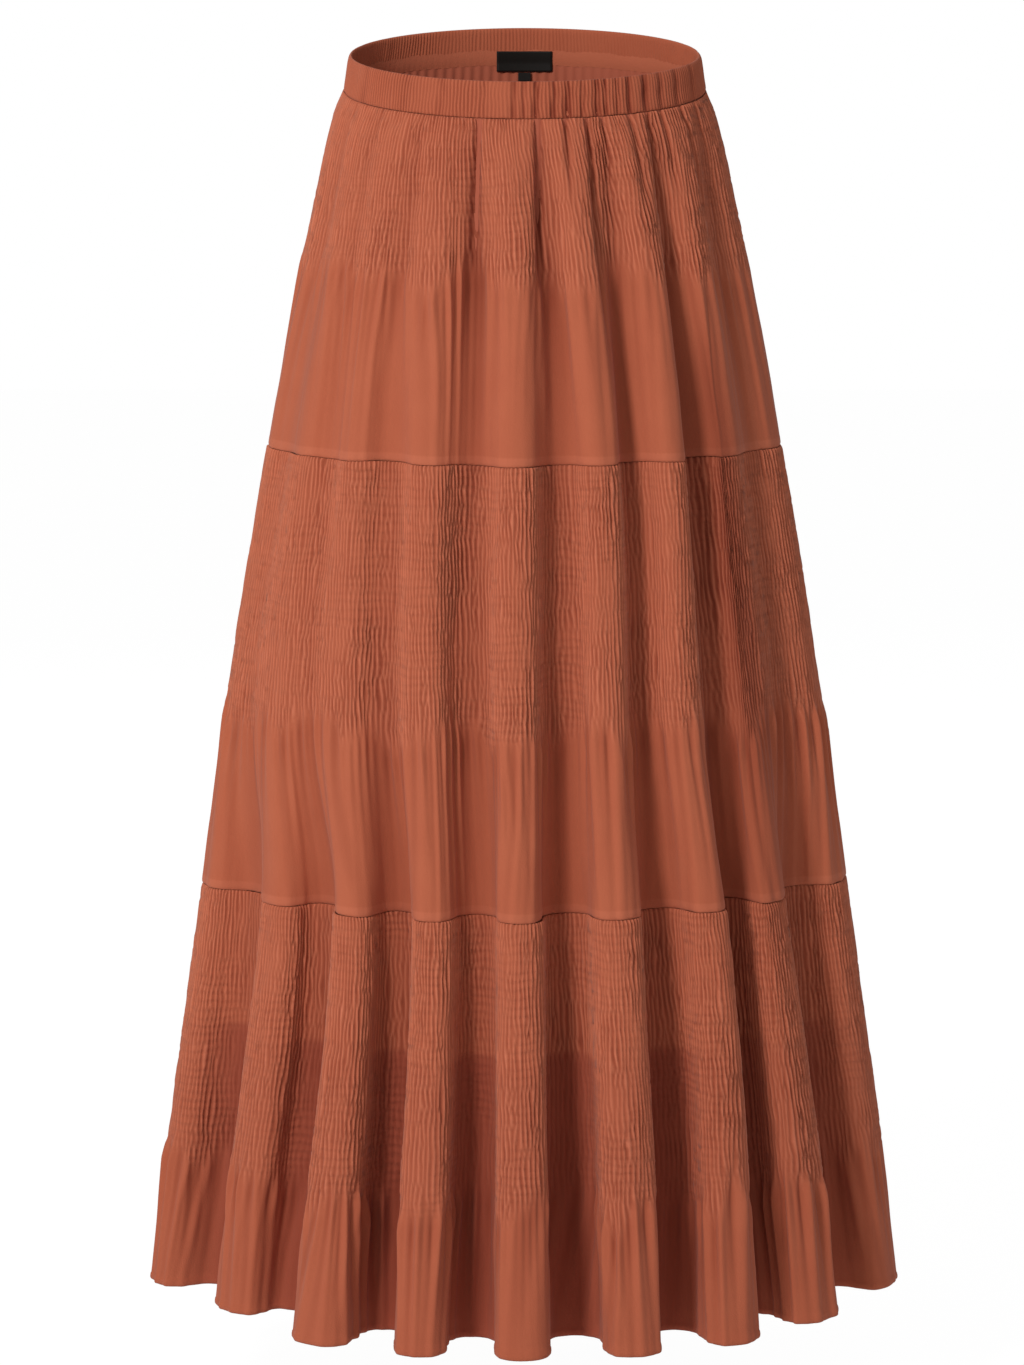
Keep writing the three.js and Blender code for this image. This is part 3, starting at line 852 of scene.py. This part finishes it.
def tier_half(number, side, first_place, last_place, seed):
    """One half of a tier, from one side seam to the other."""
    tier = TIERS[number]
    is_hemmed = tier["foot"] == HEM
    z = row_heights(tier, is_hemmed)[:, None]
    across, place = column_places(tier, first_place, last_place)
    levels = [folded_points(height, place) for height in z[:, 0]]
    grid = np.array([points for points, _ in levels])
    angle = np.array([angles for _, angles in levels])
    out = outward(grid)

    shirr_end = tier["shirr_end"] + uneven(across, 0 * across, seed, SHIRR_END_WANDER)
    shirred = step_between(shirr_end - SHIRR_END_FADE, shirr_end + SHIRR_END_FADE, z)
    pucker_size = np.clip(PUCKER_MEAN + uneven(across, z, seed, PUCKER_PATCHES), PUCKER_LEAST, 1)
    crinkle, crinkle_relief = crinkles_on(tier, across, z, shirred, seed)
    gather_relief, gather_groove_shade = gathers_on(tier, across, z, shirr_end, seed)
    troughs = extra_hollow(z, place) + crease_depth(angle, grid[..., 2])
    cloth_relief = uneven(across, z, seed, CLOTH_WANDER)
    relief = crinkle_relief + gather_relief + cloth_relief - troughs
    # Painted shade: darker in the crinkle grooves, the gather grooves and the deep troughs.
    level, per_mm, most = CRINKLE_GROOVE_SHADE
    painted_groove_shade = np.clip(level - per_mm * crinkle_relief, 0, most) * shirred
    painted_groove_shade = painted_groove_shade + gather_groove_shade + TROUGH_SHADE * troughs
    # Painted highlight: paler on the crinkle crests of the shirring.
    level, per_mm, most = CRINKLE_CREST_HIGHLIGHT
    doubled_and_crest_highlight = np.clip(level + per_mm * crinkle, 0, most) * shirred

    # Edges: the top tucks in under the tier above, and the foot's allowance lifts a little.
    from_top, from_foot = tier["top"] - z, z - tier["foot"]
    relief = relief - SEAM_TUCK * np.exp(-from_top / SEAM_TUCK_REACH)
    if is_hemmed:
        roll_hem(relief, out)
    else:
        edge_start, edge_end = (ALLOWANCE_DEEP + edge for edge in ALLOWANCE_EDGE)
        in_allowance = step_between(edge_start, edge_end, from_foot)
        relief = relief + ALLOWANCE_LIFT * in_allowance
        relief = relief - SEAM_TUCK * np.exp(-from_foot / SEAM_TUCK_REACH)
        doubled_and_crest_highlight = doubled_and_crest_highlight + DOUBLED_AT_SEAM * in_allowance
    from_side = np.minimum(across - across[0], across[-1] - across)
    relief = relief * (SIDE_RELIEF + (1 - SIDE_RELIEF) * step_between(0, SIDE_CALM, from_side))
    relief = relief - SEAM_TUCK * np.exp(-from_side / SIDE_TUCK_REACH)
    grid = grid + out * relief[..., None]

    along_seam = place * FOLD_SPAN
    if number > 1:
        top_wave = uneven(along_seam, 0 * place, number, SEAM_WAVE)
        grid[..., 2] += top_wave * np.exp(-from_top / SEAM_WAVE_REACH)
    if not is_hemmed:
        foot_wave = uneven(along_seam, 0 * place, number + 1, SEAM_WAVE)
        grid[..., 2] += foot_wave * np.exp(-from_foot / SEAM_WAVE_REACH)

    # Painted shade below the lining hem, slight on the crests and strongest in the fold hollows.
    in_fold = (1 - np.cos(2 * math.pi * place)) / 2
    is_below = step_between(LINING_HEM + LINING_HEM_FADE, LINING_HEM - LINING_HEM_FADE, z)
    unlined_shade = is_below * (UNLINED_SHADE_ON_CREST + (1 - UNLINED_SHADE_ON_CREST) * in_fold**2)
    piece = make_sheet(
        f"tier_{number}_{side}_cloth",
        grid,
        across,
        viscose,
        shades={
            "doubled_and_crest_highlight": doubled_and_crest_highlight,
            "unlined_shade": unlined_shade,
            "painted_groove_shade": painted_groove_shade,
            "shirring": shirred * pucker_size,
        },
    )
    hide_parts(f"tier_{number}_{side}")
    return piece


for number in TIERS:
    front = tier_half(number, "front", LEFT_SEAM, RIGHT_SEAM, 100 * number)
    back = tier_half(number, "back", RIGHT_SEAM, FULL_TURN, 100 * number + 50)


# ---- lining ----
# A plain A-line lining to the knee, front and back, sewn in with the waist seam. Its top is
# eased into the seam in soft upright pleats, and its hem is turned up narrowly.
LINING_SECTIONS = (
    (BAND_SEAM, 135.7, 99.2, -20, 20, 0),
    (-110, 146, 106, -13, 13, 0),
    (SEAM_1, 172, 124, -5, 5, 0),
    (SEAM_2, 208, 141, 4, 1, 0),
    (LINING_HEM, 218, 147, 2, 0, 0),
)
LINING_COLUMNS = 421
LINING_ROWS = 90
LINING_INWARDS = 0.4
LINING_RADIUS = 150
# The pleats eased into the waist seam, which fade on the way down, and the broad soft waves
# that the lining hangs in below them.
PLEAT_WIDTH = 8.5
PLEAT_DEPTH = 0.9
PLEAT_REACH = 60
PLEAT_START = 5
PLEAT_WANDER = ((0.5, 30, 200, 0),)
PLEAT_MEAN = 0.7
PLEAT_PATCHES = ((0.4, 25, 80, 1),)
WAVE_WIDTH = 46
WAVE_DEPTH = 2.2
WAVE_WANDER = ((0.4, 90, 500, 2),)
WAVE_FULL = -300

# Plain woven lining in the skirt's colour: finer, smoother and a little deeper in tone.
LINING_COLOUR = "#B25F47"
LINING_DEEP = "#A95840"
LINING_THREAD = 0.5
LINING_THREAD_DEPTH = 0.05
LINING_ROUGHNESS = 0.8
lining_cloth = woven_cloth(
    "plain_woven_lining",
    LINING_COLOUR,
    LINING_DEEP,
    LINING_THREAD,
    LINING_THREAD_DEPTH,
    LINING_ROUGHNESS,
)


def lining_half(side, first_angle, last_angle, seed):
    """One half of the lining, from one side seam to the other."""
    angle = np.linspace(first_angle, last_angle, LINING_COLUMNS)
    across = angle * LINING_RADIUS
    foot_rows = [LINING_HEM + up for up, _ in HEM_ROLL]
    upper_rows = np.linspace(BAND_SEAM - SEAM_GAP, foot_rows[0], LINING_ROWS)
    z = np.array(list(upper_rows) + foot_rows[1:])[:, None]
    grid = np.array([
        ellipse_points(section_at(LINING_SECTIONS, height), angle, LINING_INWARDS)
        for height in z[:, 0]
    ])
    below = BAND_SEAM - z
    fade = np.exp(-below / PLEAT_REACH) * step_between(0, PLEAT_START, below)
    pleat = 2 * math.pi * (across / PLEAT_WIDTH + uneven(across, z, seed, PLEAT_WANDER))
    size = PLEAT_MEAN + uneven(across, z, seed, PLEAT_PATCHES)
    wave = 2 * math.pi * (across / WAVE_WIDTH + uneven(across, z, seed, WAVE_WANDER))
    relief = -PLEAT_DEPTH * (1 - np.cos(pleat)) * fade * size
    relief = relief - WAVE_DEPTH * (1 - np.cos(wave)) * step_between(BAND_SEAM, WAVE_FULL, z)
    out = outward(grid)
    roll_hem(relief, out)
    grid = grid + out * relief[..., None]
    piece = make_sheet(f"lining_{side}_cloth", grid, across, lining_cloth)
    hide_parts(f"lining_{side}")


lining_half("front", -math.pi / 2, math.pi / 2, 700)
lining_half("back", math.pi / 2, 3 * math.pi / 2, 720)


# ---- label and size tab ----
# A black woven satin label, left plain, with the small size tab that is sewn in under it.
# Both hang inside the centre back from the seam allowance.
LABEL_STANDS = 3.1
LABEL_CLOTH = 0.8
LABEL_EDGE = 0.15
TAPE_COLUMNS = 24
TAPE_ROWS = 12

# Black woven satin: a close fine weave, smoother than the skirt's cloth but not shiny.
SATIN_BLACK = "#17130F"
SATIN_DEEP = "#100C09"
SATIN_THREAD = 0.35
SATIN_THREAD_DEPTH = 0.06
SATIN_ROUGHNESS = 0.55
satin = woven_cloth(
    "black_woven_satin",
    SATIN_BLACK,
    SATIN_DEEP,
    SATIN_THREAD,
    SATIN_THREAD_DEPTH,
    SATIN_ROUGHNESS,
)


def back_tape(name, node, half_width, top, foot):
    """A thin closed tape on the band's own curve, its top and foot edges a little rounded."""
    box_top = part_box(node)[1][2] / MM
    layers = []
    for stands in (LABEL_STANDS, LABEL_STANDS + LABEL_CLOTH):
        level = []
        for height in np.linspace(top, foot, TAPE_ROWS + 1):
            section = section_at(SKIRT_SECTIONS, max(height, BAND_SEAM))
            reach = math.asin(half_width / section["half_width"])
            angle = np.linspace(math.pi - reach, math.pi + reach, TAPE_COLUMNS + 1)
            points = ellipse_points(section, angle, stands + 0.0 * angle)
            points[:, 2] = box_top + height - top
            level.append(points)
        layers.append(np.array(level))
    outer, inner = layers
    middle = (outer + inner) / 2
    for grid in layers:
        grid[[0, -1], :, 2] = middle[[0, -1], :, 2] + np.array([[-LABEL_EDGE], [LABEL_EDGE]])
    ring = np.concatenate([outer, inner[::-1]])
    index = np.arange(len(ring) * (TAPE_COLUMNS + 1)).reshape(-1, TAPE_COLUMNS + 1)
    index = np.concatenate([index, index[:1]])
    faces = [
        (index[r, c], index[r + 1, c], index[r + 1, c + 1], index[r, c + 1])
        for r in range(len(ring))
        for c in range(TAPE_COLUMNS)
    ]
    last = len(ring) - 1
    for c in (0, TAPE_COLUMNS):
        for r in range(TAPE_ROWS):
            a, b = index[r, c], index[r + 1, c]
            d, e = index[last - r, c], index[last - r - 1, c]
            faces.append((a, d, e, b) if c == 0 else (a, b, e, d))
    mesh = bpy.data.meshes.new(name)
    mesh.from_pydata([tuple(p) for p in ring.reshape(-1, 3) * MM], [], faces)
    mesh.update()
    piece = add_cloth(name, mesh, satin)
    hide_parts(node)


back_tape("label_satin", "label", half_width=22, top=-18, foot=-34)
back_tape(
    "size_tab_satin", "size_tab", half_width=5, top=-34.3, foot=-41
)
